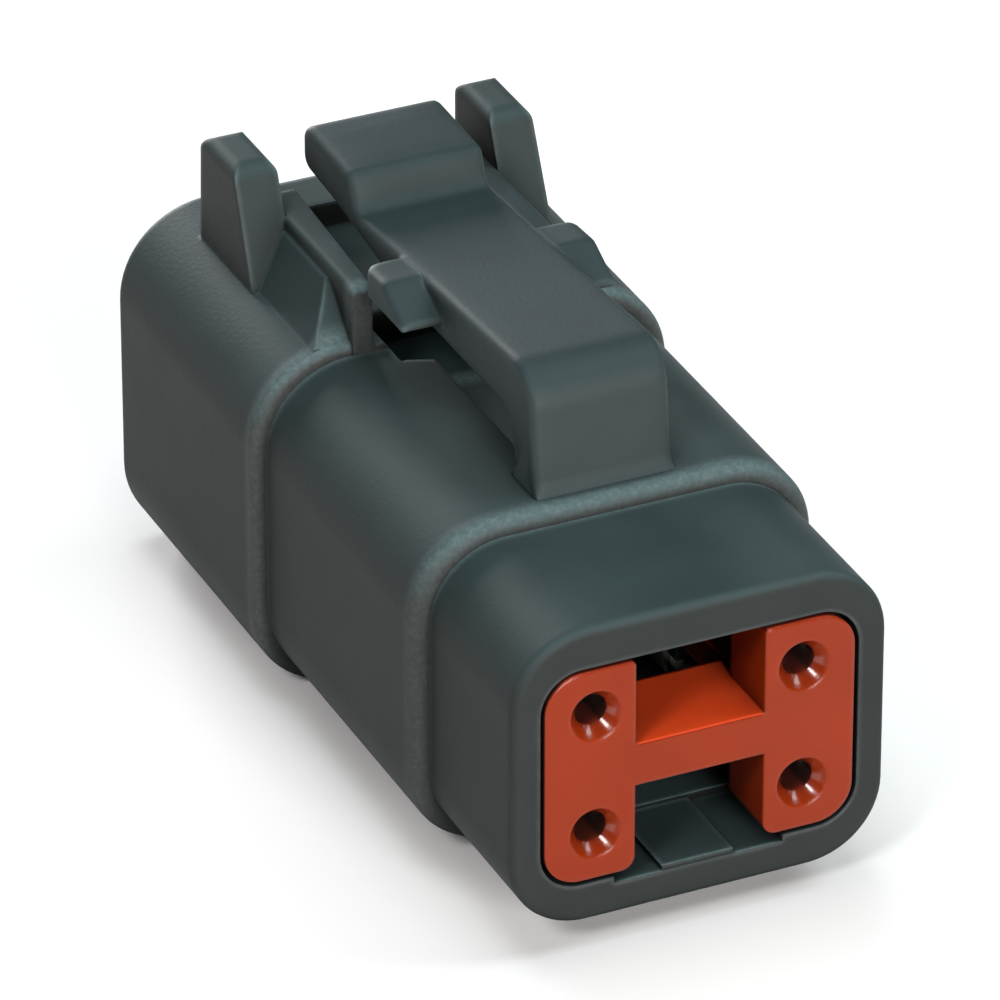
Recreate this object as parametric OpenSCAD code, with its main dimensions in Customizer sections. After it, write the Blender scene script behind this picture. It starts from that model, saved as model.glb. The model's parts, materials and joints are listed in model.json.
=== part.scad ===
// Sealed four-way plug for a vehicle harness, with a finger latch on top.
// All sizes are in millimetres. The sub-parts are drawn with the middle of the
// front face at zero and the length along +Y, then set down on their underside.

/* [Contact grid] */
// Distance between the two columns of contacts
pitch_x = 9.2; // [9:0.05:9.5]
// Distance between the two rows of contacts
pitch_z = 5.5; // [5.4:0.05:5.8]
// Distance from a column of contacts out to the side of the nose
nose_side = 3.7; // [3.6:0.05:4]
// Distance from a row of contacts out to the top or underside of the nose
nose_cap = 4.1; // [4:0.05:4.4]
// Bore of a socket contact, for a 1.0 mm pin
socket_bore = 1.02; // [0.9:0.02:1.1]

/* [Shell outside] */
// Length of the nose that enters the mating half, from its face to the collar
nose_l = 7.95; // [7.6:0.05:8.4]
// Corner radius of the nose
nose_r = 3.35; // [2.9:0.05:3.6]
// Corner radius of the middle section
mid_r = 3.9; // [3.2:0.05:4.2]
// Corner radius of the rear section
rear_r = 4.1; // [3.8:0.05:4.6]
// Rounding of the nose's front edge
nose_edge = 0.35; // [0.2:0.05:0.8]
// Step from the nose out to the middle section
mid_step = 0.7; // [0.6:0.01:1.1]
// Rounding of the middle section's front edge
mid_edge = 0.7; // [0.2:0.1:1]
// Length of the middle section, under the latch
mid_l = 14.95; // [14.7:0.05:16]
// Step from the middle out to the rear section
rear_step = 0.54; // [0.4:0.02:0.8]
// Rounding of the rear section's front edge
rear_edge = 0.45; // [0.2:0.05:0.7]
// Length of the rear section, round the wire seal
rear_l = 14.6; // [14.4:0.1:17]
// Rounding of the rear section's back edge
back_edge = 0.4; // [0.2:0.05:0.6]

/* [Shell inside] */
// Wall beside the wedge lock
nose_side_wall = 1.25; // [1.05:0.05:1.35]
// Wall above and below the wedge lock
nose_top_wall = 1.8; // [1.6:0.05:1.85]
// Depth of the pocket that the wedge lock's block sits in
lock_pocket_l = 6.4; // [5.6:0.1:6.8]
// Room round the contacts and prongs in the finger chamber behind it
chamber_room = 0.35; // [0.25:0.05:0.5]
// Distance from the front face to the wall that carries the contacts
block_y = 15.5; // [15.2:0.1:16.5]
// Wall round the wire seal
seal_wall = 2.3; // [2.2:0.05:2.5]
// Depth of the recess for the seal retainer's rim
rim_l = 1.3; // [0.9:0.1:1.8]
// Width of the ledge that the retainer's rim sits on
rim_ledge = 0.6; // [0.4:0.05:0.8]
// Relief cut in the lower lip, below the wedge lock
lip_relief = 0.3; // [0.2:0.05:0.4]
// Height of the two keys inside the lips
lip_key = 0.18; // [0.1:0.02:0.2]
// Width of the two keys inside the lips
lip_key_w = 3.2; // [2.4:0.1:4]

/* [Latch] */
// Width of the latch arm
arm_w = 6.14; // [5.8:0.1:6.6]
// Height of the arm's top over the middle section, at the front
arm_rise = 5.4; // [5:0.1:5.8]
// Slope of the arm's top, down towards the back
arm_fall = 3.9; // [3:0.1:4.5]
// Depth of the arm behind its front leg
arm_t = 2.75; // [2.4:0.05:3]
// Distance from the nose's collar to the front of the leg's foot
foot_set = 1.1; // [1:0.05:1.5]
// Thickness of the leg at its foot
foot_t = 2.2; // [2:0.05:2.4]
// Lean of the leg's front face
leg_lean = 11; // [8:1:13]
// Clearance round the leg's foot
foot_gap = 0.05; // [0.02:0.01:0.08]
// Distance from the rails' front end to the thumb pad's front edge
pad_set = 4.15; // [3.6:0.05:4.7]
// Length of the thumb pad
pad_l = 5.4; // [4.8:0.1:5.6]
// Height of the thumb pad over the arm
pad_rise = 1.5; // [1.1:0.1:1.8]
// Thickness of the thumb pad at its back end
pad_t = 2.15; // [1.8:0.05:2.4]
// Length of the level underside of the thumb pad
pad_sole = 3.4; // [3:0.1:3.8]
// Reach of each side wing beyond the arm
wing_reach = 1.78; // [1.5:0.02:1.9]
// Distance from the wings' locking edge to the rails behind it
wing_gap = 0.5; // [0.45:0.05:0.8]
// Length of a wing
wing_l = 4.2; // [3.6:0.1:4.6]
// Length of the ramp on a wing
wing_ramp = 2.1; // [1.8:0.1:2.6]

/* [Latch guards] */
// Room between the arm and a rail, at the rail's front end
rail_room = 1.03; // [0.9:0.01:1.2]
// Room between the arm and a rail, at the rail's back end
rail_room_back = 0.5; // [0.35:0.05:0.8]
// Thickness of a rail at its front end
rail_t = 0.9; // [0.7:0.05:1.1]
// Height of a rail over the rear section
rail_rise = 2.5; // [2.2:0.1:2.8]
// Length of a rail
rail_l = 9.8; // [9:0.1:10.2]
// Thickness of a fin
fin_t = 1.93; // [1.6:0.05:2]
// Height of a fin over the rear section
fin_rise = 4.65; // [4.2:0.05:5]
// Length of a fin along its top
fin_top_l = 3.45; // [2.8:0.05:3.8]
// Lean of a fin's front edge
fin_lean = 23; // [18:1:28]
// Rounding of a fin's top, seen from the front
fin_round = 0.5; // [0.3:0.05:0.8]
// Distance from the shell's back end to a fin's back edge
fin_set = 3.1; // [2.6:0.1:3.6]

/* [Wedge lock] */
// Gap between the wedge lock and the shell
lock_gap = 0.2; // [0.12:0.02:0.24]
// Depth of the wedge lock's four-hole block
lock_l = 3.2; // [3:0.1:4]
// Distance from a column of contacts in to the side of the key slots
slot_land = 1.73; // [1.6:0.05:2]
// Rounding of the lower key slot's mouth
slot_mouth = 0.6; // [0.3:0.05:0.9]
// Rounding of the upper key slot's mouth
slot_mouth_top = 0.2; // [0.1:0.05:0.5]
// Thickness of the bar between the key slots
bar_t = 1.9; // [1.7:0.05:2.1]
// Depth of the bar
bar_l = 4.5; // [4.3:0.1:5]
// Thickness of the two prongs that back the locking fingers
prong_t = 1.5; // [1.3:0.05:1.6]
// Distance from the front face to the prongs' tips
prong_y = 11.2; // [10.8:0.1:12]
// Diameter of a lead-in cone at the front face
cone_d = 2.3; // [2:0.05:2.6]
// Diameter of the hole behind a lead-in cone
eye_d = 1.4; // [1.2:0.05:1.5]
// Depth of a lead-in cone
cone_l = 0.55; // [0.3:0.05:0.7]

/* [Contacts] */
// Outside diameter of a contact's socket
socket_d = 1.9; // [1.8:0.02:1.94]
// Wall of the steel hood over a socket
hood_t = 0.12; // [0.1:0.01:0.14]
// Distance from the front face to a hood's mouth
hood_y = 2.4; // [2.2:0.05:2.5]
// Length of a hood
hood_l = 7; // [6.8:0.1:7.2]
// Depth of the socket's bore
socket_l = 5.5; // [4.6:0.1:6]
// Diameter of the neck that a locking finger drops into
neck_d = 1.4; // [1.3:0.05:1.6]
// Length of the neck
neck_l = 1.5; // [1.4:0.05:1.8]
// Diameter of the collar that stops a contact
collar_d = 2.4; // [2.35:0.01:2.44]
// Length of the collar
collar_l = 1; // [0.6:0.1:1.4]
// Diameter of the crimp barrel
crimp_d = 1.78; // [1.7:0.02:1.9]
// Bore of the crimp barrel
crimp_bore = 1.17; // [1:0.01:1.25]
// Length of the crimp barrel
crimp_l = 5.2; // [4:0.1:6]

/* [Wire seal and retainer] */
// Distance that a seal rib presses into the shell
seal_squeeze = 0.05; // [0.02:0.01:0.08]
// Depth of the grooves between the seal's ribs
seal_groove = 0.35; // [0.2:0.05:0.5]
// Diameter of a wire hole in the seal
wire_hole = 1.3; // [1.1:0.05:1.8]
// Length of the seal
seal_l = 7.1; // [6.6:0.1:7.6]
// Length of the retainer behind the seal
retainer_l = 2.2; // [1.9:0.1:2.6]
// Diameter of a wire hole in the retainer
guide_d = 3; // [2.6:0.1:3.3]
// Gap between the retainer and the shell
retainer_gap = 0.06; // [0.03:0.01:0.1]

/* [Hidden] */
$fn = 48;
cut = 1;                      // how far a cutting shape runs past the face it opens
sink = 0.3;                   // how deep an added shape is rooted in what carries it
plastic = "#46535a";
lock_plastic = "#b8492c";
silicone = "#c8633c";
nickel = "#c9b98f";
steel = "#b9bcc0";

total_l = nose_l + mid_l + rear_l;
nose_w = pitch_x + 2 * nose_side;
nose_h = pitch_z + 2 * nose_cap;
rear_y = nose_l + mid_l;
mid_w = nose_w + 2 * mid_step;
mid_h = nose_h + 2 * mid_step;
rear_w = mid_w + 2 * rear_step;
rear_h = mid_h + 2 * rear_step;
mid_top = mid_h / 2;
rear_top = rear_h / 2;
sides = [-1, 1];
cavities = [for (z = [1, -1]) for (x = sides) [x * pitch_x / 2, z * pitch_z / 2]];

lock_w = nose_w - 2 * nose_side_wall;      // the pocket that the wedge lock fills
lock_h = nose_h - 2 * nose_top_wall;
slot_w = pitch_x - 2 * slot_land;
relief_l = lock_l + 1.2;
lock_r = nose_r - nose_side_wall - 0.3;

hood_r = socket_d / 2 + hood_t;
contact_y = hood_y + 0.2;
neck_y = hood_y + hood_l;
slide_fit = 0.1;                           // radial room round a hood and a collar
stop_l = 0.4;                              // the narrow ring that a collar stops on
collar_y = block_y + stop_l;
crimp_y = collar_y + collar_l;
finger_w = 2.2;
prong_w = finger_w + 0.4;
finger_z = prong_t / 2 + 0.1;
finger_top = pitch_z / 2 - hood_r - 0.07;
hook_top = pitch_z / 2 - neck_d / 2 - 0.05;
hook_y = neck_y + 0.05;
hook_l = neck_l - 0.5;

seal_w = rear_w - 2 * seal_wall;
seal_h = rear_h - 2 * seal_wall;
seal_r = rear_r - seal_wall;
retainer_y = total_l - retainer_l;
seal_y = retainer_y - seal_l;
rim_y = total_l - rim_l;

foot_y = nose_l + foot_set;
rail_y = rear_y - 0.05;
wing_y = rail_y - wing_gap;
pad_y = rail_y + pad_set;
channel_floor = rear_top - 1.45;
channel_dip = 0.3;                         // how far the channel lowers the top behind the latch
pocket_floor = mid_top - 2.5;
foot_r = foot_t / 2;
foot_mid = foot_y + foot_r;
foot_z = mid_top + 0.15;
leg_top = mid_top + arm_rise;
arm_y = foot_y + 2;                        // where the leg's round front meets the arm
pad_end = pad_y + pad_l;
rail_in = arm_w / 2 + rail_room;
rail_out = rail_in + rail_t;
fin_root = 0.1;                            // how far a fin laps over the rail beside it
fin_in = rail_out - fin_root;
fin_back_y = total_l - fin_set;
rail_end = rail_y + rail_l;

function arm_top(y) = leg_top - (y - arm_y) * tan(arm_fall);

// Points of a polygon whose corners are [x, y, radius], with each corner rounded.
function unit(v) = v / norm(v);
function corner_arc(a, b, c, r) =
    let (
        u = unit(a - b),
        v = unit(c - b),
        half = acos(max(-1, min(1, u * v))) / 2,
        reach = r / tan(half),
        mid = b + unit(u + v) * r / sin(half),
        from = b + u * reach - mid,
        turn = 180 - 2 * half,
        way = sign(u.x * v.y - u.y * v.x),
        steps = max(2, ceil(turn / 12))
    )
    [for (i = [0:steps]) let (t = -way * turn * i / steps)
        mid + [from.x * cos(t) - from.y * sin(t), from.x * sin(t) + from.y * cos(t)]];
function rounded(p) =
    let (n = len(p))
    [for (i = [0:n - 1])
        let (
            a = [p[(i + n - 1) % n].x, p[(i + n - 1) % n].y],
            b = [p[i].x, p[i].y],
            c = [p[(i + 1) % n].x, p[(i + 1) % n].y]
        )
        each (p[i].z == 0 ? [b] : corner_arc(a, b, c, p[i].z))];

// A rounded rectangle in the XZ plane, carried from y0 to y1.
module rounded_prism(w, h, r, y0, y1) {
    translate([0, y0, 0]) rotate([-90, 0, 0]) linear_extrude(y1 - y0) {
        square([w - 2 * r, h], center = true);
        square([w, h - 2 * r], center = true);
        for (x = sides, y = sides)
            translate([x * (w / 2 - r), y * (h / 2 - r)]) circle(r);
    }
}

// A round bar or hole along +Y.
module rod(d, y0, y1) {
    translate([0, y0, 0]) rotate([-90, 0, 0]) cylinder(d = d, h = y1 - y0);
}

// A cone along +Y, d0 wide at y0 and d1 wide at y1.
module cone(d0, d1, y0, y1) {
    translate([0, y0, 0]) rotate([-90, 0, 0]) cylinder(d1 = d0, d2 = d1, h = y1 - y0);
}

module at_cavity(i) {
    translate([cavities[i].x, 0, cavities[i].y]) children();
}

// An outline drawn in Y and Z, made w wide across X.
module side_profile(w) {
    translate([-w / 2, 0, 0]) rotate([90, 0, 90]) linear_extrude(w) children();
}

// An outline drawn in X and Z, carried from y0 to y1.
module cross_profile(y0, y1) {
    translate([0, y1, 0]) rotate([90, 0, 0]) linear_extrude(y1 - y0) children();
}

// ---- housing ----

// The outline of a section's wall: x is the distance out from the corner's
// centre line, y is the distance behind the front face.
module wall_outline(r, y0, y1, front, back) {
    translate([0, y0 + front]) square([r, y1 - y0 - front - back]);
    translate([0, y0]) square([r - max(front, back), y1 - y0]);
    translate([r - front, y0 + front]) circle(front);
    if (back > 0) translate([r - back, y1 - back]) circle(back);
}

// One section of the shell: its wall outline is carried once round the core,
// as four corners and four sides, so the end edges are round all the way.
module section(w, h, r, y0, y1, front, back) {
    corners = [[1, 1], [-1, 1], [-1, -1], [1, -1]];
    core_w = w - 2 * r;
    core_h = h - 2 * r;
    rotate([-90, 0, 0]) {
        translate([-core_w / 2, -core_h / 2, y0]) cube([core_w, core_h, y1 - y0]);
        for (k = [0:3]) {
            across = k % 2 == 0 ? core_w : core_h;
            along = k % 2 == 0 ? core_h : core_w;
            translate([corners[k].x * core_w / 2, corners[k].y * core_h / 2, 0])
                rotate(90 * k) rotate_extrude(angle = 90)
                    wall_outline(r, y0, y1, front, back);
            rotate(90 * k) translate([across / 2, along / 2, 0])
                rotate([90, 0, 0]) linear_extrude(along)
                    wall_outline(r, y0, y1, front, back);
        }
    }
}

module shell_body() {
    section(nose_w, nose_h, nose_r, 0, nose_l + mid_edge + sink, nose_edge, 0);
    section(mid_w, mid_h, mid_r, nose_l, rear_y + rear_edge + sink, mid_edge, 0);
    section(rear_w, rear_h, rear_r, rear_y, total_l, rear_edge, back_edge);
}

module front_cavity() {
    rounded_prism(lock_w, lock_h, lock_r, -cut, lock_pocket_l);
    chamber_w = pitch_x + prong_w + 2 * chamber_room;
    chamber_h = pitch_z + 2 * (hood_r + slide_fit + chamber_room);
    rounded_prism(chamber_w, chamber_h, 1.2, lock_pocket_l - cut, block_y);
    relief_w = slot_w + 1.8;
    translate([-relief_w / 2, -cut, -lock_h / 2 - lip_relief])
        cube([relief_w, relief_l + cut, 1]);
}

// The key inside each lip, which the mating half's grooves pass over.
module lip_keys() {
    key_y = 0.1;
    upper_key = lip_key / 3;
    translate([-lip_key_w / 2, key_y, lock_h / 2 - upper_key])
        cube([lip_key_w, 1, upper_key + sink]);
    translate([-lip_key_w / 2, key_y, -lock_h / 2 - lip_relief - sink])
        cube([lip_key_w, relief_l - key_y + sink, lip_key + sink]);
}

module contact_cavity() {
    rod(2 * hood_r + 2 * slide_fit, block_y - cut, block_y + stop_l + cut);
    rod(collar_d + slide_fit, collar_y, seal_y + cut);
}

// The channel that the arm is pressed into: a trough in the shell's top, and above it
// the space between the rails, which closes in towards the back.
module latch_channel() {
    front = rear_y - 1.3;
    back_in = arm_w / 2 + rail_room_back;
    cross_profile(front, rail_end + 2.4) polygon([
        [-back_in, rear_top + cut], [-back_in, rear_top - channel_dip], [-2.8, channel_floor + 0.15],
        [-2.3, channel_floor], [2.3, channel_floor], [2.8, channel_floor + 0.15],
        [back_in, rear_top - channel_dip], [back_in, rear_top + cut]
    ]);
    translate([0, 0, rear_top - channel_dip]) linear_extrude(rail_rise + cut) polygon([
        [-rail_in, front], [rail_in, front], [rail_in, rail_y], [back_in, rail_end],
        [back_in, total_l + cut], [-back_in, total_l + cut], [-back_in, rail_end], [-rail_in, rail_y]
    ]);
}

// The deep pocket under the arm: narrow over the middle section, wide between the rails.
module latch_pocket() {
    narrow = 2.05;
    wide = arm_w / 2 + 0.07;
    narrow_y = foot_y + foot_t + 1.3;
    wide_y = rear_y - 1.3;
    back_y = seal_y - 0.9;
    translate([0, 0, pocket_floor]) linear_extrude(mid_step + 3) polygon(rounded([
        [-narrow, narrow_y, 0.8], [narrow, narrow_y, 0.8], [narrow, wide_y - 0.45, 0],
        [wide, wide_y, 0.2], [wide, back_y, 0.8], [-wide, back_y, 0.8],
        [-wide, wide_y, 0.2], [-narrow, wide_y - 0.45, 0]
    ]));
}

module foot_seat() {
    translate([-arm_w / 2 - foot_gap, foot_mid, foot_z]) rotate([0, 90, 0])
        cylinder(r = foot_r + foot_gap, h = arm_w + 2 * foot_gap);
}

// A rail on the +X side; the channel is cut through it afterwards.
module rail() {
    top = rear_top + rail_rise;
    intersection() {
        side_profile(2 * rail_out) polygon(rounded([
            [rail_y, mid_top - sink, 0], [rail_y, top, 0.3],
            [rail_end, top, 0.9], [rail_end, rear_top - sink, 0]
        ]));
        cross_profile(rail_y - cut, rail_end + cut) polygon(rounded([
            [arm_w / 2, mid_top - 2 * sink, 0], [arm_w / 2, top, 0],
            [rail_out, top, 0.3], [rail_out, mid_top - 2 * sink, 0]
        ]));
    }
}

// The sloped mass on the outside of a rail, which fairs it into the fin and the shell.
module rail_gusset() {
    top = rear_top + rail_rise;
    foot = rail_out + 1.7;
    back_y = rail_end - 0.5;
    intersection() {
        cross_profile(rear_y, back_y) polygon([
            [rail_out - fin_root, rear_top - 2], [foot, rear_top - 2], [foot, rear_top - 0.25],
            [rail_out + 0.15, top - 0.6], [rail_out - fin_root, top - 0.5]
        ]);
        side_profile(2 * foot) polygon([
            [rear_y + 0.3, rear_top - 2 - cut], [rear_y + 0.3, rear_top - 0.1],
            [rear_y + 2.9, top], [back_y + cut, top], [back_y + cut, rear_top - 2 - cut]
        ]);
    }
}

// A fin on the +X side: the outline seen from the side, within the one seen from the front.
module fin() {
    top = rear_top + fin_rise;
    base = rear_top - 1;
    top_front = fin_back_y - fin_top_l;
    base_front = top_front - (top - base) * tan(fin_lean);
    fin_out = fin_in + fin_t;
    draft = 0.12;
    intersection() {
        side_profile(2 * fin_out + 1) polygon(rounded([
            [base_front, base, 0], [top_front, top, 0.9],
            [fin_back_y, top, 0.7], [fin_back_y, base, 0]
        ]));
        cross_profile(base_front - cut, fin_back_y + cut) polygon(rounded([
            [fin_in, base - cut, 0], [fin_in, top, fin_round],
            [fin_out, top, fin_round + 0.1], [fin_out + draft, base - cut, 0]
        ]));
    }
}

// A sprung finger that drops into a contact's neck and holds it.
module locking_finger() {
    side_profile(finger_w) polygon([
        [hook_y, finger_z], [block_y + sink, finger_z], [block_y + sink, finger_top],
        [hook_y + hook_l + 0.5, finger_top], [hook_y + hook_l, hook_top], [hook_y, hook_top]
    ]);
}

module housing() {
    color(plastic) {
        difference() {
            union() {
                shell_body();
                for (s = [0, 1]) mirror([s, 0, 0]) {
                    rail();
                    rail_gusset();
                    fin();
                }
            }
            front_cavity();
            for (i = [0:3]) at_cavity(i) contact_cavity();
            rounded_prism(seal_w, seal_h, seal_r, seal_y, total_l + cut);
            rounded_prism(seal_w + 2 * rim_ledge, seal_h + 2 * rim_ledge, seal_r + rim_ledge,
                rim_y, total_l + cut);
            latch_channel();
            latch_pocket();
            foot_seat();
        }
        lip_keys();
        for (x = sides, z = [0, 1])
            translate([x * pitch_x / 2, 0, 0]) mirror([0, 0, z]) locking_finger();
    }
}

// ---- latch ----

module arm_outline() {
    under = arm_top(foot_y + foot_t) - arm_t;
    lean = arm_rise * tan(leg_lean);
    top_end = arm_top(pad_y) + pad_rise;
    polygon(rounded([
        [foot_y, foot_z, 0],
        [foot_y + lean * 0.55, leg_top + 0.05, 1.9],
        [pad_y + 0.35, arm_top(pad_y + 0.35), 0.45],
        [pad_y - 0.05, top_end - 0.25, 0.15],
        [pad_y + 0.3, top_end, 0.35],
        [pad_end, top_end + 0.25, 0.6],
        [pad_end, top_end + 0.25 - pad_t, 0.6],
        [pad_end - pad_sole, top_end - pad_t, 2],
        [wing_y - 0.6, under, 3],
        [foot_y + foot_t + 0.5, under, 0.75],
        [foot_y + foot_t, foot_z, 0]
    ]));
}

// One side wing: full depth at the locking edge, with a ramp down to the front.
module wing() {
    front = wing_y - wing_l;
    under = arm_top(foot_y + foot_t) - arm_t + 0.75;
    reach = arm_w / 2 + wing_reach;
    sweep = 0.35;
    intersection() {
        side_profile(2 * reach) polygon(rounded([
            [front, under, 0], [front, under + 0.25, 0.1],
            [front + wing_ramp, arm_top(front + wing_ramp), 0.4],
            [wing_y, arm_top(wing_y), 0.2], [wing_y, under, 0.3]
        ]));
        linear_extrude(3 * mid_top) polygon(rounded([
            [0, front - cut, 0], [reach, front - cut, 0], [reach, wing_y - sweep, 0.55],
            [arm_w / 2, wing_y, 0], [0, wing_y, 0]
        ]));
    }
}

module latch_arm() {
    color(plastic) {
        side_profile(arm_w) arm_outline();
        translate([-arm_w / 2, foot_mid, foot_z]) rotate([0, 90, 0])
            cylinder(r = foot_r, h = arm_w);
        for (s = [0, 1]) mirror([s, 0, 0]) wing();
    }
}

// ---- wedge lock ----

module lock_hole() {
    cone(cone_d + 0.02, eye_d, -0.01, cone_l);
    rod(eye_d, -cut, lock_l + cut);
    rod(2 * hood_r + 2 * slide_fit, hood_y - 0.2, lock_l + cut);
}

// The opening of a key slot, seen from the front, with its mouth corners rounded off.
module slot_outline(block_h, mouth) {
    translate([-slot_w / 2, bar_t / 2]) square([slot_w, block_h]);
    for (x = sides) difference() {
        translate([x * slot_w / 2 - mouth, block_h / 2 - mouth]) square([2 * mouth, mouth + cut]);
        translate([x * (slot_w / 2 + mouth), block_h / 2 - mouth]) circle(mouth);
    }
}

module prong() {
    side_profile(prong_w) polygon([
        [lock_l - sink, -prong_t / 2], [lock_l - sink, prong_t / 2],
        [prong_y - 1.2, prong_t / 2], [prong_y, prong_t / 4],
        [prong_y, -prong_t / 4], [prong_y - 1.2, -prong_t / 2]
    ]);
}

module wedge_lock() {
    block_w = lock_w - 2 * lock_gap;
    block_h = lock_h - 2 * lock_gap;
    color(lock_plastic) {
        difference() {
            rounded_prism(block_w, block_h, lock_r - lock_gap, 0, lock_l);
            cross_profile(-cut, lock_l + cut) slot_outline(block_h, slot_mouth_top);
            mirror([0, 0, 1])
                cross_profile(-cut, lock_l + cut) slot_outline(block_h, slot_mouth);
            for (i = [0:3]) at_cavity(i) lock_hole();
        }
        translate([-slot_w / 2 - sink, lock_l - sink, -bar_t / 2])
            cube([slot_w + 2 * sink, bar_l - lock_l + sink, bar_t]);
        for (s = sides) translate([s * pitch_x / 2, 0, 0]) prong();
    }
}

// ---- contacts ----

module socket_contact() {
    color(nickel) difference() {
        union() {
            rod(socket_d, contact_y, neck_y);
            rod(neck_d, neck_y - sink, neck_y + neck_l + sink);
            rod(socket_d + 2 * hood_t, neck_y + neck_l, collar_y + sink);
            rod(collar_d, collar_y, crimp_y);
            rod(crimp_d, crimp_y - sink, crimp_y + crimp_l);
        }
        rod(socket_bore, contact_y - cut, contact_y + socket_l);
        cone(socket_bore + 0.5, socket_bore, contact_y - 0.01, contact_y + 0.25);
        rod(crimp_bore, crimp_y + 0.8, crimp_y + crimp_l + cut);
    }
}

module contact_hood() {
    color(steel) difference() {
        rod(2 * hood_r, hood_y, neck_y);
        rod(socket_d, hood_y - cut, neck_y + cut);
    }
}

// ---- rear end ----

module wire_seal() {
    fat_w = seal_w + 2 * seal_squeeze;
    fat_h = seal_h + 2 * seal_squeeze;
    thin = 2 * (seal_squeeze + seal_groove);
    ribs = 3;
    rib_l = seal_l / (2 * ribs - 1);
    color(silicone) difference() {
        union() {
            rounded_prism(fat_w - thin, fat_h - thin, seal_r - seal_groove, seal_y, retainer_y);
            for (k = [0:ribs - 1])
                rounded_prism(fat_w, fat_h, seal_r + seal_squeeze,
                    seal_y + 2 * k * rib_l, seal_y + (2 * k + 1) * rib_l);
        }
        for (i = [0:3]) at_cavity(i) {
            rod(wire_hole, seal_y - cut, retainer_y + cut);
            cone(wire_hole + 1.2, wire_hole, seal_y - 0.01, seal_y + 0.6);
            cone(wire_hole, wire_hole + 1.2, retainer_y - 0.6, retainer_y + 0.01);
        }
    }
}

module seal_retainer() {
    slim = 2 * retainer_gap;
    color(plastic) difference() {
        union() {
            rounded_prism(seal_w - slim, seal_h - slim, seal_r - retainer_gap, retainer_y, total_l);
            rounded_prism(seal_w + 2 * rim_ledge - slim, seal_h + 2 * rim_ledge - slim,
                seal_r + rim_ledge - retainer_gap, rim_y, total_l);
        }
        for (i = [0:3]) at_cavity(i) {
            rod(guide_d, retainer_y - cut, total_l + cut);
            cone(guide_d, guide_d + 0.8, total_l - 0.4, total_l + 0.01);
        }
    }
}

// ---- assembly: the front face looks towards -Y and the underside stands on Z = 0 ----

module placed() {
    translate([0, -total_l / 2, rear_top]) children();
}

placed() housing();
placed() latch_arm();
placed() wedge_lock();
placed() wire_seal();
placed() seal_retainer();
for (i = [0:3]) {
    placed() at_cavity(i) socket_contact();
    placed() at_cavity(i) contact_hood();
}
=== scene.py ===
import json
import math
import bmesh
import bpy
import numpy as np
from mathutils import Matrix, Vector


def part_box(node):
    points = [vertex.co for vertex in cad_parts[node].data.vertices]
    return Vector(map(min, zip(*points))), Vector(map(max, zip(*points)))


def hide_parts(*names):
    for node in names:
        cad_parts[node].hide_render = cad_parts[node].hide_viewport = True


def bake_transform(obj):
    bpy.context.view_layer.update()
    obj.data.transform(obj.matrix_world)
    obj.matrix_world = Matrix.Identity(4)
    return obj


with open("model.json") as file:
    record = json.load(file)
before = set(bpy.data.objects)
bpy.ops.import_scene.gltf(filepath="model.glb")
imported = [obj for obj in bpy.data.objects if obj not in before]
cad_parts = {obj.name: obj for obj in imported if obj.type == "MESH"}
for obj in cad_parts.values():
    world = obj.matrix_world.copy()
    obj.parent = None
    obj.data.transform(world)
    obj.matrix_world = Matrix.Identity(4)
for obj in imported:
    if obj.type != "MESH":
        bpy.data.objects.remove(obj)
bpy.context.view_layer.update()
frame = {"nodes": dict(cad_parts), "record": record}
print("frame loaded:", len(frame["nodes"]), "CAD pieces")

mm = 0.001


def makePiece(name, vertices, faces, smooth=True):
    # a mesh object at the origin, with its place in its vertices
    mesh = bpy.data.meshes.new(name)
    mesh.from_pydata(vertices.tolist(), [], [f for group in faces for f in group])
    mesh.polygons.foreach_set("use_smooth", np.full(len(mesh.polygons), smooth))
    mesh.validate()
    mesh.update()
    piece = bpy.data.objects.new(name, mesh)
    bpy.context.scene.collection.objects.link(piece)
    return piece


def ringFaces(ringCount, pointCount, start):
    # four-cornered faces between neighbouring rings of points, each ring closed on itself
    ring, point = np.meshgrid(np.arange(ringCount - 1), np.arange(pointCount), indexing="ij")
    after = (point + 1) % pointCount
    a = start + ring * pointCount + point
    b = start + ring * pointCount + after
    c = start + (ring + 1) * pointCount + after
    d = start + (ring + 1) * pointCount + point
    return np.stack([a, b, c, d], -1).reshape(-1, 4).tolist()


def capFaces(ringCount, pointCount, start):
    # one flat face at each end of a stack of rings
    first = (start + np.arange(pointCount))[::-1].tolist()
    last = (start + (ringCount - 1) * pointCount + np.arange(pointCount)).tolist()
    return [first, last]


def roundedOutline(corners, perCorner):
    # a closed outline whose corners, given as (y, z, radius), become arcs: each arc's
    # middle lies radius / sin(half angle) along the bisector, and the arc turns by
    # pi less the corner's angle
    points = np.array([c[:2] for c in corners], float)
    before = np.roll(points, 1, 0)
    after = np.roll(points, -1, 0)
    u = (before - points) / np.linalg.norm(before - points, axis=1)[:, None]
    v = (after - points) / np.linalg.norm(after - points, axis=1)[:, None]
    half = np.arccos(np.clip((u * v).sum(1), -1, 1)) / 2
    radius = np.array([c[2] for c in corners], float)
    middle = points + (u + v) / np.linalg.norm(u + v, axis=1)[:, None] * (radius / np.sin(half))[:, None]
    start = points + u * (radius / np.tan(half))[:, None] - middle
    turn = np.sign(u[:, 0] * v[:, 1] - u[:, 1] * v[:, 0]) * (math.pi - 2 * half)
    t = -turn[:, None] * np.linspace(0, 1, perCorner)[None]
    x = middle[:, :1] + start[:, :1] * np.cos(t) - start[:, 1:] * np.sin(t)
    y = middle[:, 1:] + start[:, :1] * np.sin(t) + start[:, 1:] * np.cos(t)
    return np.stack([x, y], -1).reshape(-1, 2)


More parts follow.
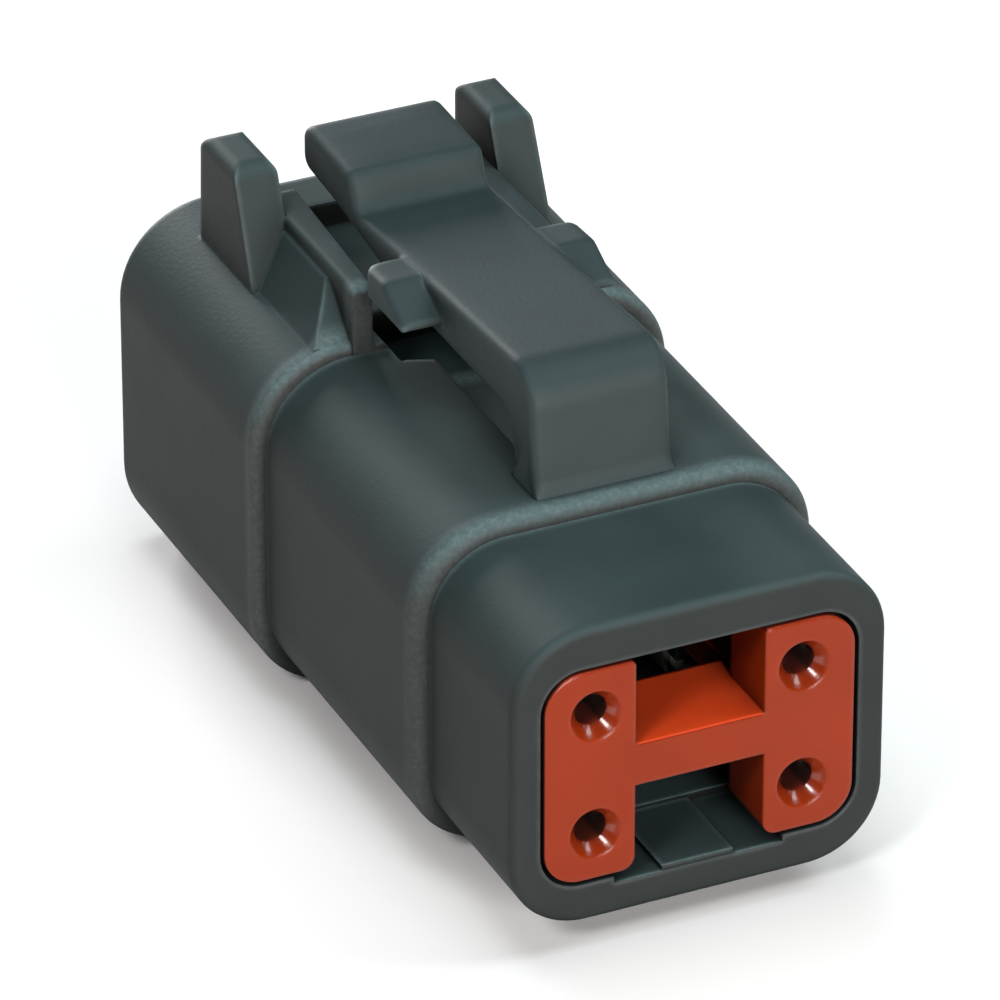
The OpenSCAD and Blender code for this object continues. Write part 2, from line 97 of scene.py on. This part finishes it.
def respace(outline, count):
    # the same closed outline with its points evenly spaced along its length
    closed = np.vstack([outline, outline[:1]])
    step = np.linalg.norm(np.diff(closed, axis=0), axis=1)
    along = np.concatenate([[0], np.cumsum(step)])
    keep = np.concatenate([[True], step > 1e-9])
    at = np.linspace(0, along[-1], count, endpoint=False)
    return np.stack([np.interp(at, along[keep], closed[keep, i]) for i in (0, 1)], -1)


def inwards(outline):
    # the unit direction into a closed outline at each of its points
    tangent = np.roll(outline, -1, 0) - np.roll(outline, 1, 0)
    tangent /= np.linalg.norm(tangent, axis=1)[:, None]
    area = (outline[:, 0] * np.roll(outline[:, 1], -1) - np.roll(outline[:, 0], -1) * outline[:, 1]).sum()
    return np.stack([-tangent[:, 1], tangent[:, 0]], -1) * np.sign(area)


def slab(outline, left, right, edge, steps, keep=None):
    # rings of an outline carried across X from left to right; near each side the
    # outline shrinks along a quarter circle, so that the long edges come out round,
    # and one more ring on the flat keeps its shading flat; where keep is 0 it doesn't shrink
    a = np.linspace(0, math.pi / 2, steps)
    inset = edge * np.concatenate([[1.25], 1 - np.sin(a), (1 - np.sin(a))[::-1], [1.25]])
    reach = edge * np.concatenate([[0], 1 - np.cos(a)])
    across = np.concatenate([left + reach, right - reach[::-1]])
    weight = np.ones(len(outline)) if keep is None else keep
    shrink = outline[None] + (inwards(outline) * weight[:, None])[None] * inset[:, None, None]
    x = np.broadcast_to(across[:, None, None], shrink.shape[:2] + (1,))
    return np.concatenate([x, shrink], -1)


def addRings(rings, after, like, across):
    # copies of one ring, set at the given places across X, put in after a number of rings
    extra = np.repeat(rings[like:like + 1], len(across), axis=0)
    extra[..., 0] = across[:, None]
    return np.concatenate([rings[:after], extra, rings[after:]])


def ringMesh(name, stacks):
    # one piece from several stacks of rings, each closed at both ends
    vertices, faces, start = [], [], 0
    for rings in stacks:
        ringCount, pointCount = rings.shape[:2]
        vertices.append(rings.reshape(-1, 3))
        faces.append(ringFaces(ringCount, pointCount, start))
        faces.append(capFaces(ringCount, pointCount, start))
        start += ringCount * pointCount
    piece = makePiece(name, np.vstack(vertices) * mm, faces)
    outwards(piece)
    return piece


def outwards(piece):
    # turns every face of a closed piece to the outside
    work = bmesh.new()
    work.from_mesh(piece.data)
    bmesh.ops.recalc_face_normals(work, faces=work.faces)
    work.to_mesh(piece.data)
    work.free()


def node(tree, kind, inputs=None, **settings):
    # a new node with its settings; an input is given a value, or the socket that feeds it
    made = tree.nodes.new(kind)
    for key, value in settings.items():
        setattr(made, key, value)
    for key, value in (inputs or {}).items():
        if isinstance(value, bpy.types.NodeSocket):
            tree.links.new(value, made.inputs[key])
        else:
            made.inputs[key].default_value = value
    return made


def maths(tree, operation, *values, clamp=False):
    # one step of arithmetic on numbers or sockets
    made = node(tree, "ShaderNodeMath", dict(enumerate(values)), operation=operation, use_clamp=clamp)
    return made.outputs[0]


def vectorMaths(tree, operation, *values, result="Vector"):
    # the same for colours and directions
    return node(tree, "ShaderNodeVectorMath", dict(enumerate(values)), operation=operation).outputs[result]


def scaled(tree, vector, amount):
    # a colour or direction times one number
    inputs = {0: vector, "Scale": amount}
    return node(tree, "ShaderNodeVectorMath", inputs, operation="SCALE").outputs["Vector"]


def ramp(tree, value, start, end, low=0.0, high=1.0, kind="LINEAR"):
    # goes from low to high as the value goes from start to end, and stays there
    inputs = {"Value": value, "From Min": start, "From Max": end, "To Min": low, "To Max": high}
    return node(tree, "ShaderNodeMapRange", inputs, interpolation_type=kind).outputs["Result"]


def noise(tree, place, scale, detail, roughness=0.5):
    # cloudy noise between 0 and 1
    inputs = {"Vector": place, "Scale": scale, "Detail": detail, "Roughness": roughness}
    return node(tree, "ShaderNodeTexNoise", inputs).outputs["Fac"]


def mixed(tree, factor, first, second):
    # from the first colour to the second
    inputs = {"Factor": factor, "A": first, "B": second}
    return node(tree, "ShaderNodeMix", inputs, data_type="RGBA").outputs["Result"]


def parts(tree, vector):
    # the X, Y and Z of a place or direction
    return node(tree, "ShaderNodeSeparateXYZ", {0: vector}).outputs


skinInputs = {
    "Colour": (0.05, 0.06, 0.06, 1),
    "Edge Sheen And Wear Colour": (0.1, 0.12, 0.12, 1),    # lighter on outer edges: painted edge highlight, also rubbing marks
    "Grain Scale": 6000.0,
    "Grain Depth": 0.00002,                 # metres
    "Edge Radius": 0.0003,                  # of the softened corners, metres
    "Sheen And Wear Strength": 0.5,
    "Roughness": 0.5,
    "Cloud": 0.15,                          # strength of the soft colour clouds
    "Side Painted Light": (1, 1, 1, 1),              # painted light level on faces that look sideways or down, below 1 for painted shade
    "Top Painted Light": (1, 1, 1, 1),               # painted light level on faces that look up
    "Fade From": 0.05,                      # how far up a face looks before it takes the painted light of the tops
    "Painted Recess Shade": 0.7,                          # painted shade: how much holes and gaps are darkened
    "Band Front": 10.0,                     # places along Y of two speckled bands of painted highlight and rubbing marks, metres
    "Band Rear": 10.0,
}
skinOutputs = {"Colour": "NodeSocketColor", "Roughness": "NodeSocketFloat", "Normal": "NodeSocketVector"}


def grainNormal(tree, given, place, corner):
    # noise plus cell distances as the height of a fine moulded grain, on the softened corners
    grain = noise(tree, place, given["Grain Scale"], 3.0, 0.6)
    cells = maths(tree, "MULTIPLY", given["Grain Scale"], 0.55)
    pits = node(tree, "ShaderNodeTexVoronoi", {"Scale": cells, "Vector": place}, feature="F1")
    height = maths(tree, "ADD", grain, pits.outputs["Distance"])
    inputs = {"Strength": 1.0, "Height": height, "Distance": given["Grain Depth"], "Normal": corner}
    return node(tree, "ShaderNodeBump", inputs).outputs["Normal"]


def edgeSheenAndWear(tree, given, place, flat, corner):
    # painted edge highlight with rubbing marks: 1 where the softened corner turns away from the flat face,
    # on outer corners only, in patches
    bend = vectorMaths(tree, "DOT_PRODUCT", corner, flat, result="Value")
    edge = ramp(tree, bend, 0.995, 0.9)
    exposed = node(tree, "ShaderNodeAmbientOcclusion", {"Distance": 0.0005}, samples=4)
    outer = ramp(tree, exposed.outputs["AO"], 0.7, 0.92)    # leaves inside corners clean
    patchy = ramp(tree, noise(tree, place, 1500.0, 5.0, 0.7), 0.3, 0.62, low=0.45)
    patchyEdgeSheenAndWear = maths(tree, "MULTIPLY", maths(tree, "MULTIPLY", edge, outer), patchy)
    return maths(tree, "MULTIPLY", patchyEdgeSheenAndWear, given["Sheen And Wear Strength"], clamp=True)


def bandSheenAndWear(tree, given, place):
    # painted highlight with rubbing marks: speckled bands round the shell, fading with the distance from
    # two places along Y
    along = parts(tree, place)["Y"]
    bands = []
    for name, strength in (("Band Front", 0.78), ("Band Rear", 1.0)):
        away = maths(tree, "ABSOLUTE", maths(tree, "SUBTRACT", along, given[name]))
        bands.append(ramp(tree, away, 0.00085, 0.0001, high=strength, kind="SMOOTHSTEP"))
    speckle = ramp(tree, noise(tree, place, 4200.0, 3.0, 0.75), 0.42, 0.72, 0.48, 0.95)
    return maths(tree, "MULTIPLY", maths(tree, "MAXIMUM", *bands), speckle)


def paintedRecessShade(tree, given):
    # painted shade: 0 in the open, rising deep in a hole or gap, as far as the strength given
    deep = node(tree, "ShaderNodeAmbientOcclusion", {"Distance": 0.004}, samples=6)
    shut = maths(tree, "SUBTRACT", 1.0, ramp(tree, deep.outputs["AO"], 0.25, 0.72))
    return maths(tree, "MULTIPLY", shut, given["Painted Recess Shade"])


def buildMouldedSkin():
    # the skin of moulded plastic: grain, clouds, painted highlight with rubbing marks on edges and bands,
    # painted light and shade on tops and sides, and painted shade in holes and gaps
    tree = bpy.data.node_groups.new("mouldedSkin", "ShaderNodeTree")
    for name, value in skinInputs.items():
        kind = "NodeSocketColor" if isinstance(value, tuple) else "NodeSocketFloat"
        tree.interface.new_socket(name=name, in_out="INPUT", socket_type=kind).default_value = value
    for name, kind in skinOutputs.items():
        tree.interface.new_socket(name=name, in_out="OUTPUT", socket_type=kind)
    given = node(tree, "NodeGroupInput").outputs
    place = node(tree, "ShaderNodeTexCoord").outputs["Object"]
    flat = node(tree, "ShaderNodeNewGeometry").outputs["Normal"]
    corner = node(tree, "ShaderNodeBevel", {"Radius": given["Edge Radius"]}, samples=8).outputs["Normal"]

    edges = edgeSheenAndWear(tree, given, place, flat, corner)
    sheenAndWear = maths(tree, "MAXIMUM", edges, bandSheenAndWear(tree, given, place))
    cloud = maths(tree, "SUBTRACT", noise(tree, place, 260.0, 5.0, 0.55), 0.5)
    clouded = scaled(tree, given["Colour"], maths(tree, "MULTIPLY_ADD", cloud, given["Cloud"], 1.0))
    withSheenAndWear = mixed(tree, sheenAndWear, clouded, given["Edge Sheen And Wear Colour"])
    # painted light: faces that look up take the top level, faces that look sideways or down the side level
    upward = ramp(tree, parts(tree, flat)["Z"], given["Fade From"], 0.9, kind="SMOOTHSTEP")
    tint = mixed(tree, upward, given["Side Painted Light"], given["Top Painted Light"])
    # painted shade in holes and gaps, which are also made rougher
    recessShade = paintedRecessShade(tree, given)
    lit = maths(tree, "SUBTRACT", 1.0, recessShade)
    gloss = maths(tree, "MULTIPLY_ADD", cloud, 0.12, given["Roughness"])
    node(tree, "NodeGroupOutput", {
        "Colour": scaled(tree, vectorMaths(tree, "MULTIPLY", withSheenAndWear, tint), lit),
        "Roughness": maths(tree, "MULTIPLY_ADD", recessShade, 0.6, gloss, clamp=True),
        "Normal": grainNormal(tree, given, place, corner),
    })
    return tree


mouldedSkin = buildMouldedSkin()
print("shared effects built")


def newMaterial(name):
    # a material, its nodes and its Principled shader
    material = bpy.data.materials.new(name)
    material.use_nodes = True
    return material, material.node_tree, material.node_tree.nodes["Principled BSDF"]


def mouldedPlastic(name, skin, specular):
    # a plastic whose colour, roughness and normal come from the shared skin
    material, tree, shader = newMaterial(name)
    group = node(tree, "ShaderNodeGroup", skin, node_tree=mouldedSkin)
    for socket, target in (("Colour", "Base Color"), ("Roughness", "Roughness"), ("Normal", "Normal")):
        tree.links.new(group.outputs[socket], shader.inputs[target])
    shader.inputs["Specular IOR Level"].default_value = specular
    return material


# the slate's sides are painted darker and warmer and its tops lighter and bluer, as painted light and
# shade; its holes and gaps get painted shade
slate = {
    "Colour": (0.021, 0.0275, 0.028, 1), "Edge Sheen And Wear Colour": (0.078, 0.095, 0.097, 1), "Grain Scale": 9000.0,
    "Grain Depth": 0.000005, "Edge Radius": 0.0004, "Sheen And Wear Strength": 0.8, "Roughness": 0.58, "Cloud": 0.5,
    "Side Painted Light": (0.72, 0.66, 0.64, 1), "Top Painted Light": (1.45, 1.75, 1.78, 1), "Painted Recess Shade": 0.96,
}
# the latch's copy is painted lighter on its sides and tops than the shell: painted light
litLatchSkin = dict(slate)
litLatchSkin["Side Painted Light"] = (1.15, 1.2, 1.2, 1)
litLatchSkin["Top Painted Light"] = (1.15, 1.42, 1.5, 1)
litLatchPlastic = mouldedPlastic("litLatchPlastic", litLatchSkin, specular=0.18)

shellSkin = dict(slate)
# the two bands of painted highlight with rubbing marks lie on these front edges
shellSkin["Band Front"] = -0.01045    # front edge of the middle section, metres along Y
shellSkin["Band Rear"] = 0.00445      # front edge of the rear section
shellPlastic = mouldedPlastic("shellPlastic", shellSkin, specular=0.15)

# the orange's tops, such as the crossbar's, are painted several times lighter and its holes darker:
# painted light and painted shade
orange = {
    "Colour": (0.172, 0.0155, 0.0010, 1), "Edge Sheen And Wear Colour": (0.25, 0.029, 0.006, 1), "Grain Scale": 7000.0,
    "Grain Depth": 0.000003, "Edge Radius": 0.0003, "Sheen And Wear Strength": 0.25, "Roughness": 0.19, "Cloud": 0.4,
    "Top Painted Light": (4.1, 4.3, 14.0, 1), "Fade From": 0.75, "Painted Recess Shade": 0.92,
}
orangePlastic = mouldedPlastic("orangePlastic", orange, specular=0.23)

funnels = {"gloss": 0.9, "roughness": 0.13, "radius": 0.001, "rim": 0.93}


def polishFunnels(material):
    # the mouths of the four pin holes are polished: a glossy coat inside a small
    # radius of each hole's centre, the four being mirror images of one another
    tree = material.node_tree
    shader = tree.nodes["Principled BSDF"]
    holes = np.array([m["pos_m"] for m in frame["record"]["mounts"] if m["name"].startswith("pin_socket")])
    middle, reach = (holes.max(0) + holes.min(0)) / 2, (holes.max(0) - holes.min(0)) / 2
    place = node(tree, "ShaderNodeTexCoord").outputs["Object"]
    centred = vectorMaths(tree, "SUBTRACT", place, (middle[0], 0, middle[2]))
    folded = vectorMaths(tree, "ABSOLUTE", centred)
    fromHole = vectorMaths(tree, "SUBTRACT", folded, (reach[0], 0, reach[2]))
    flattened = vectorMaths(tree, "MULTIPLY", fromHole, (1, 0, 1))
    away = vectorMaths(tree, "LENGTH", flattened, result="Value")
    inside = ramp(tree, away, funnels["radius"], funnels["radius"] * funnels["rim"], high=funnels["gloss"])
    tree.links.new(inside, shader.inputs["Coat Weight"])
    shader.inputs["Coat Roughness"].default_value = funnels["roughness"]


polishFunnels(orangePlastic)

silicone = {
    "Colour": (0.3, 0.06, 0.02, 1), "Edge Sheen And Wear Colour": (0.4, 0.11, 0.05, 1), "Grain Scale": 2600.0,
    "Grain Depth": 0.00001, "Edge Radius": 0.0003, "Sheen And Wear Strength": 0.3, "Roughness": 0.55, "Cloud": 0.3,
}
sealRubber = mouldedPlastic("sealRubber", silicone, specular=0.4)


def drawnMetal(name, colour, roughness, streak):
    # plated metal with fine turning marks round the contact and faint stains
    material, tree, shader = newMaterial(name)
    shader.inputs["Metallic"].default_value = 1.0
    place = node(tree, "ShaderNodeTexCoord").outputs["Object"]
    marks = node(tree, "ShaderNodeMapping", {"Scale": (60.0, 3000.0, 60.0), "Vector": place})
    lines = noise(tree, marks.outputs["Vector"], 1.0, 3.0)
    streaked = ramp(tree, lines, 0.0, 1.0, roughness - streak, roughness + streak)
    tree.links.new(streaked, shader.inputs["Roughness"])
    stained = tuple(c * 0.75 for c in colour) + (1,)
    tint = mixed(tree, noise(tree, place, 700.0, 4.0), stained, colour + (1,))
    tree.links.new(tint, shader.inputs["Base Color"])
    bump = node(tree, "ShaderNodeBump", {"Strength": 0.4, "Distance": 0.000004, "Height": lines})
    tree.links.new(bump.outputs["Normal"], shader.inputs["Normal"])
    return material


nickelPlate = drawnMetal("nickelPlate", (0.66, 0.63, 0.56), 0.3, 0.1)
# the hoods' steel is darker than bare steel: painted shade, as they sit deep inside the pin holes
shadedHoodSteel = drawnMetal("shadedHoodSteel", (0.36, 0.36, 0.37), 0.38, 0.08)
print("materials built")

finishes = {"shell_plastic": shellPlastic, "lock_plastic": orangePlastic, "seal_silicone": sealRubber,
            "contact_plating": nickelPlate, "hood_steel": shadedHoodSteel}
for part in frame["record"]["subparts"]:
    carried = frame["nodes"][part["node"]]
    for slot in carried.material_slots:
        slot.material = finishes[part["material_slot"]]
print("CAD pieces finished")


latch = {                  # lengths in mm
    "armHalf": 3.07,       # half the arm's width
    "armDrop": 0.66,       # from the pad's top down to the arm's top where it starts to slope
    "armSlope": 3.9,       # fall of the arm towards the pad, degrees
    "armStart": 2.0,       # from the leg's front to where the slope starts
    "armDepth": 2.75,      # from the arm's top down to its underside
    "legDepth": 2.2,       # the leg from front to back
    "legLean": 0.6,        # how far the leg's front leans back on its way up
    "rootRise": 0.55,      # height over the shell where the leg starts to spread
    "rootSink": 0.3,       # how far the leg goes down into the shell
    "rootFlare": 0.3,      # spread of the foot where it flows into the shell
    "rootRound": 0.8,
    "shoulder": 1.85,      # rounding where the leg turns into the arm
    "edge": 0.36,          # rounding of the arm's long edges
    "padLength": 5.4,
    "padDepth": 2.15,
    "padRound": 0.75,
    "padCrown": 0.07,      # how far the thumb pad bulges in its middle
    "wingBack": 10.05,     # from the pad's back end to the wings' locking edge
    "wingLength": 4.2,
    "wingRamp": 2.1,       # length of a wing's sloping front
    "wingNose": 0.32,      # height of its blunt front end
    "wingDepth": 2.0,      # from the arm's top down to a wing's underside
    "wingSink": 0.09,      # how far a wing's top lies below the arm's
    "wingReach": 4.85,     # from the middle to a wing's tip
    "wingBuried": 0.6,     # how far a wing's inner end goes into the arm
    "wingRake": 0.35 / 1.8,    # how much the locking edge draws in on its way to the tip
    "wingEdge": 0.11,
    "wingDroop": 0.4,      # rounding of a wing's top towards its tip
    "wingCorner": 0.6,     # rounding of a wing's outer back corner, seen from above
    "points": 460,
    "wingPoints": 170,
}


def armTop(y, foot, top):
    # height of the arm's top at y: a straight fall from the leg towards the pad
    fall = math.tan(math.radians(latch["armSlope"]))
    return top - latch["armDrop"] - (y - foot - latch["armStart"]) * fall


def armOutline(foot, back, top, shellTop):
    # side view as corners (y, z, rounding): leg, shoulder, arm, thumb pad, hollow underside
    legBack = foot + latch["legDepth"]
    under = armTop(legBack, foot, top) - latch["armDepth"]
    flare, sunk, rise = latch["rootFlare"], shellTop - latch["rootSink"], shellTop + latch["rootRise"]
    step = back - latch["padLength"]
    return roundedOutline([
        (foot - flare, sunk, 0.05),
        (foot + 0.03, rise, latch["rootRound"]),
        (foot + latch["legLean"], top - 0.61, latch["shoulder"]),
        (step - 0.15, armTop(step, foot, top), 0.6),    # foot of the pad's step
        (step + 0.5, top - 0.2, 0.5),                   # its top
        (back, top, latch["padRound"]),
        (back, top - latch["padDepth"], latch["padRound"]),
        (back - 3.4, top - 2.4, 2.0),                   # under the pad
        (back - 10.65, under, 3.0),                     # under the wings
        (legBack + 0.5, under, 0.95),                   # inside of the shoulder
        (legBack - 0.03, rise, latch["rootRound"]),
        (legBack + flare, sunk, 0.05),
    ], perCorner=14)


def fadeIn(value, start, length):
    # 0 before start and 1 past start + length
    return np.clip((value - start) / length, 0, 1)


def makeArm(foot, back, top, shellTop):
    # the side view carried across X, its long edges round down to the root; the
    # pad's top is lifted by a low hump that fades towards its rim
    outline = respace(armOutline(foot, back, top, shellTop), latch["points"])
    half, edge, crown = latch["armHalf"], latch["edge"], latch["padCrown"]
    rings = slab(outline, -half, half, edge, steps=7, keep=fadeIn(outline[:, 1], shellTop, 0.6))
    rings = addRings(rings, 8, 7, np.linspace(-half + edge, half - edge, 9)[1:-1])
    x, y, z = rings[..., 0], rings[..., 1], rings[..., 2]
    onPad = fadeIn(y, back - 5.0, 1.2) * fadeIn(-y, 0.5 - back, 1.2)
    onTop = fadeIn(z, top - 0.75, 0.6)
    rings[..., 2] = z + crown * onPad * onTop * (1 - (x / half) ** 2) - crown * onTop
    return rings


def quarterDrop(across, tip, radius):
    # how far a quarter circle that ends at the tip has dropped, stopped just short of upright
    out = np.clip(across - (tip - radius), 0, radius) * 0.96
    return radius - np.sqrt(radius ** 2 - out ** 2)


def makeWing(side, foot, back, top):
    # a wing's side view carried out from inside the arm; its top sinks and its
    # back edge draws in, each along a quarter circle, towards the tip
    behind = back - latch["wingBack"]
    front = behind - latch["wingLength"]
    crest = front + latch["wingRamp"]
    under = armTop(foot + latch["legDepth"], foot, top) - latch["wingDepth"]
    sink = latch["wingSink"]
    outline = respace(roundedOutline([
        (front, under, 0.15),
        (front, under + latch["wingNose"], 0.15),
        (crest, armTop(crest, foot, top) - sink, 0.6),
        (behind, armTop(behind, foot, top) - sink, 0.3),
        (behind, under, 0.35),
    ], perCorner=8), latch["wingPoints"])
    arm, buried, tip = latch["armHalf"], latch["wingBuried"], latch["wingReach"]
    rings = slab(outline, arm - buried, tip, latch["wingEdge"], steps=5)
    rings = addRings(rings, 6, 6, np.linspace(arm - buried + 0.5, tip - latch["wingEdge"] - 0.03, 14))
    rings[:6, :, 2] -= buried * fadeIn(rings[:6, :, 2], under, 0.6)    # keeps the buried end out of sight
    x, y, z = rings[..., 0], rings[..., 1], rings[..., 2]
    sunk = z - quarterDrop(x, tip, latch["wingDroop"])
    limit = behind - latch["wingRake"] * (x - arm).clip(0) - quarterDrop(x, tip, latch["wingCorner"])
    rings[..., 2] = np.maximum(sunk, np.minimum(z, under + 0.2))
    rings[..., 1] = np.minimum(y, limit)
    rings[..., 0] = x * side
    return rings


def makeLatch():
    low, high = (np.array(corner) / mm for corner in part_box("latch_arm"))
    foot, back, top = low[1], high[1], high[2]
    shellTop = low[2] + 0.95    # the node's round foot goes that far below the shell's top
    stacks = [makeArm(foot, back, top, shellTop)]
    stacks += [makeWing(side, foot, back, top) for side in (-1, 1)]
    piece = ringMesh("latchMoulding", stacks)
    piece.data.materials.append(litLatchPlastic)
    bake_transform(piece)
    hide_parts("latch_arm")


makeLatch()
print("latch built")


floor = {"size": 1.2, "shade": 0.9, "roughness": 0.9}


def makeFloor():
    half = floor["size"] / 2
    grid = np.array([[-half, -half, 0], [half, -half, 0], [half, half, 0], [-half, half, 0]])
    sheet = makePiece("floor", grid, [[[0, 1, 2, 3]]], smooth=False)
    material, tree, shader = newMaterial("paleFloor")
    shader.inputs["Base Color"].default_value = (floor["shade"],) * 3 + (1,)
    shader.inputs["Roughness"].default_value = floor["roughness"]
    sheet.data.materials.append(material)


makeFloor()

lights = {    # place and size in metres, power in watts, tint
    "frontSoftbox": ((0.0, -0.489, 0.114), 0.22, 3.4, (1.0, 0.97, 0.95)),
    "backSoftbox": ((0.0, 0.489, 0.114), 0.22, 2.8, (1.0, 0.98, 0.99)),
    "keyLamp": ((-0.301, -0.227, 0.338), 0.13, 1.0, (1.0, 0.98, 0.97)),
    "rightHigh": ((0.31, -0.083, 0.393), 0.24, 0.9, (0.9, 1.0, 1.0)),
    "backHigh": ((0.147, 0.354, 0.331), 0.24, 0.08, (0.8, 0.98, 1.0)),
    "topSoft": ((-0.03, 0.082, 0.502), 0.28, 0.8, (0.92, 1.0, 1.0)),
}


def makeLights():
    # round lamps, all turned to the middle of the connector
    middle = Vector((0, 0, 0.01))
    for name, (place, size, watts, tint) in lights.items():
        data = bpy.data.lights.new(name, "AREA")
        data.shape = "DISK"
        data.size = size
        data.energy = watts
        data.color = tint
        lamp = bpy.data.objects.new(name, data)
        bpy.context.scene.collection.objects.link(lamp)
        lamp.location = place
        lamp.rotation_euler = (middle - lamp.location).to_track_quat("-Z", "Y").to_euler()


makeLights()

room = {"colour": (0.93, 0.97, 1.0, 1), "strength": 0.03}


def makeRoom():
    world = bpy.data.worlds.new("paleRoom")
    world.use_nodes = True
    background = world.node_tree.nodes["Background"]
    background.inputs["Color"].default_value = room["colour"]
    background.inputs["Strength"].default_value = room["strength"]
    bpy.context.scene.world = world
    bpy.context.scene.view_settings.view_transform = "Standard"


makeRoom()

view = {
    "place": (-0.1353, -0.29375, 0.19889),      # metres, in the model's frame
    "across": (0.9085, -0.4179, 0.0),
    "ahead": (0.3607, 0.7842, -0.505),
    "lens": 324.73,                             # mm, for the sensor's width
    "sensor": 36,
}


def makeCamera():
    # looks along ahead, upright; across is squared to it first
    data = bpy.data.cameras.new("benchCamera")
    data.sensor_width = view["sensor"]
    data.lens = view["lens"]
    data.clip_start = 0.01
    data.clip_end = 10
    made = bpy.data.objects.new("benchCamera", data)
    bpy.context.scene.collection.objects.link(made)
    ahead = Vector(view["ahead"]).normalized()
    across = Vector(view["across"]).normalized()
    up = across.cross(ahead).normalized()
    across = ahead.cross(up)
    turn = Matrix((across, up, -ahead)).transposed().to_4x4()
    made.matrix_world = Matrix.Translation(view["place"]) @ turn
    bpy.context.scene.camera = made


makeCamera()
print("floor, lights, room and camera placed")
